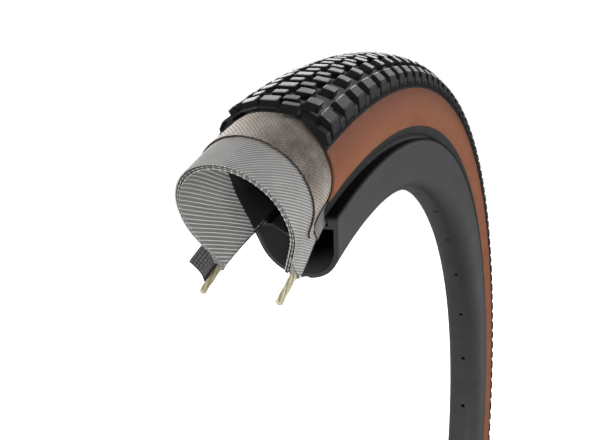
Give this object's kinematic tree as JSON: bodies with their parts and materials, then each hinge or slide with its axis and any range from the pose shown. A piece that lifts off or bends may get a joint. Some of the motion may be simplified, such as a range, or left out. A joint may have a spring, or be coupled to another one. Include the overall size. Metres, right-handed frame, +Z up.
{
  "type": "bicycle tyre cutaway section",
  "caption": "Cutaway section of a knobbly tubeless bicycle tyre on a hollow rim, with its layers stepped back at one end.",
  "frame": {"origin": "wheel centre, on the axle line midway between the two sides", "axes": "+Y along the axle to the rear side of the section, +Z up; angles round the wheel run from +X towards +Z"},
  "size_m": [0.5516, 0.0492, 0.4538],
  "materials": {
    "tread_rubber": "moulded rubber with a soft sheen",
    "sidewall_rubber": "matt brown rubber, slightly mottled",
    "bead_rubber": "matt",
    "breaker_weave": "fine cross weave in thin rubber",
    "casing_ply": "parallel cords in thin rubber",
    "liner_rubber": "smooth",
    "bead_fibre": "twisted aramid strands",
    "chafer_strip": "smooth rubber-coated fabric",
    "chafer_weave": "fine square weave",
    "carbon": "satin clear coat over carbon fibre",
    "tape": "satin film"
  },
  "bodies": {
    "root": {"tread": "tread_rubber", "sidewall_front": "sidewall_rubber", "sidewall_rear": "sidewall_rubber", "bead_band_front": "bead_rubber", "bead_band_rear": "bead_rubber", "breaker_ply": "breaker_weave", "outer_casing_ply": "casing_ply", "inner_casing_ply": "casing_ply", "inner_liner": "liner_rubber", "bead_cord_front": "bead_fibre", "bead_cord_rear": "bead_fibre", "bead_filler_front": "bead_rubber", "bead_filler_rear": "bead_rubber", "chafer_front": "chafer_strip", "chafer_rear": "chafer_weave", "rim": "carbon", "rim_tape": "tape"}
  },
  "joints": []
}
